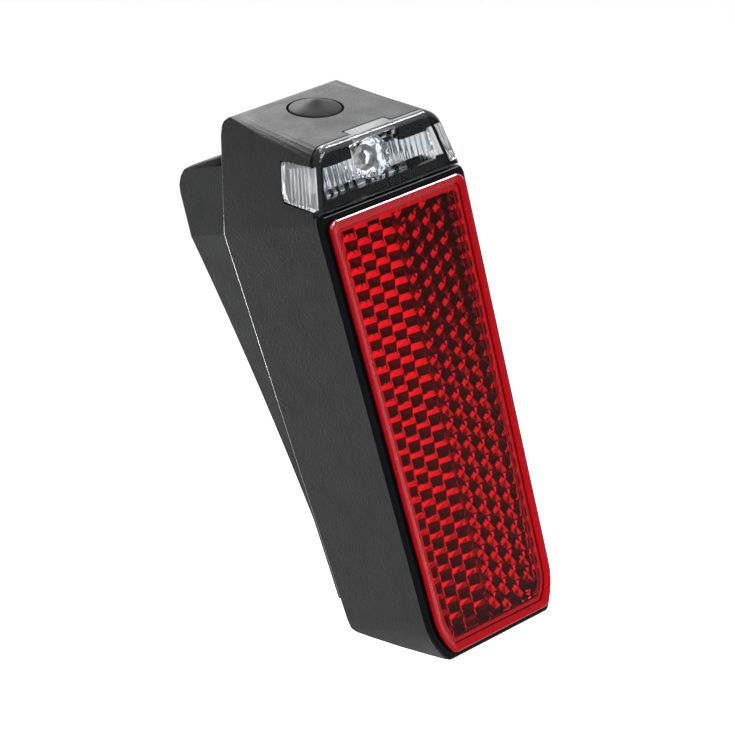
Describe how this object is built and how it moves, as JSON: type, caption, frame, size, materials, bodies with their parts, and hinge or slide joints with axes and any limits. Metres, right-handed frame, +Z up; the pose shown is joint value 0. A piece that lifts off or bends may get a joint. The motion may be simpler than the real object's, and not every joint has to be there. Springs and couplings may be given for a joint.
{
  "type": "bicycle rear light",
  "caption": "Battery rear light for a bicycle mudguard: tall tapered case, full-height red prismatic reflector, clear wrap-round window above it and a domed push button on the sloping top.",
  "frame": {"origin": "half way between the two mounting screw seats, on the plane of the seats, where the light meets the mudguard", "axes": "+Z up the case, -Y out through the reflector towards following traffic, +X to the right when the reflector is looked at"},
  "size_m": [0.035, 0.0378, 0.0976],
  "materials": {
    "case_plastic": "fine matt texture",
    "base_plastic": "matt",
    "gloss_black": "polished",
    "red_prism": "clear red, polished",
    "clear_plastic": "clear, polished",
    "white_plastic": "satin",
    "rubber": "matt",
    "board_green": "solder mask",
    "chip_black": "moulded epoxy",
    "led_yellow": "phosphor under silicone",
    "steel": "nickel plated",
    "brass": "turned",
    "cell_sleeve": "plain sleeve, not printed"
  },
  "bodies": {
    "light": {"housing": "case_plastic", "front_frame": "gloss_black", "reflector": "red_prism", "reflector_backing": "gloss_black", "clear_lens": "clear_plastic", "light_shield": "gloss_black", "lens_optic": "clear_plastic", "led": "led_yellow", "light_sensor": "chip_black", "lamp_board": "board_green", "button_seal": "rubber", "switch_body": "chip_black", "driver_board": "board_green", "driver_chip": "chip_black", "inductor": "chip_black", "battery_left": "cell_sleeve", "battery_right": "cell_sleeve", "battery_tray": "white_plastic", "bridge_plate": "steel", "positive_strip": "steel", "negative_strip": "steel", "spring_left": "steel", "spring_right": "steel", "rear_base": "base_plastic", "mudguard_pad": "rubber", "threaded_insert_lower": "brass", "threaded_insert_upper": "brass", "base_seal": "rubber", "closing_screw": "steel"},
    "button": {"push_button": "rubber", "switch_plunger": "white_plastic"}
  },
  "joints": [
    {"name": "button_press", "type": "slide", "parent": "light", "child": "button", "axis": [0, 0.3272, -0.9449], "range_m": [0, 0.0005], "stiffness_N_per_m": 800}
  ]
}
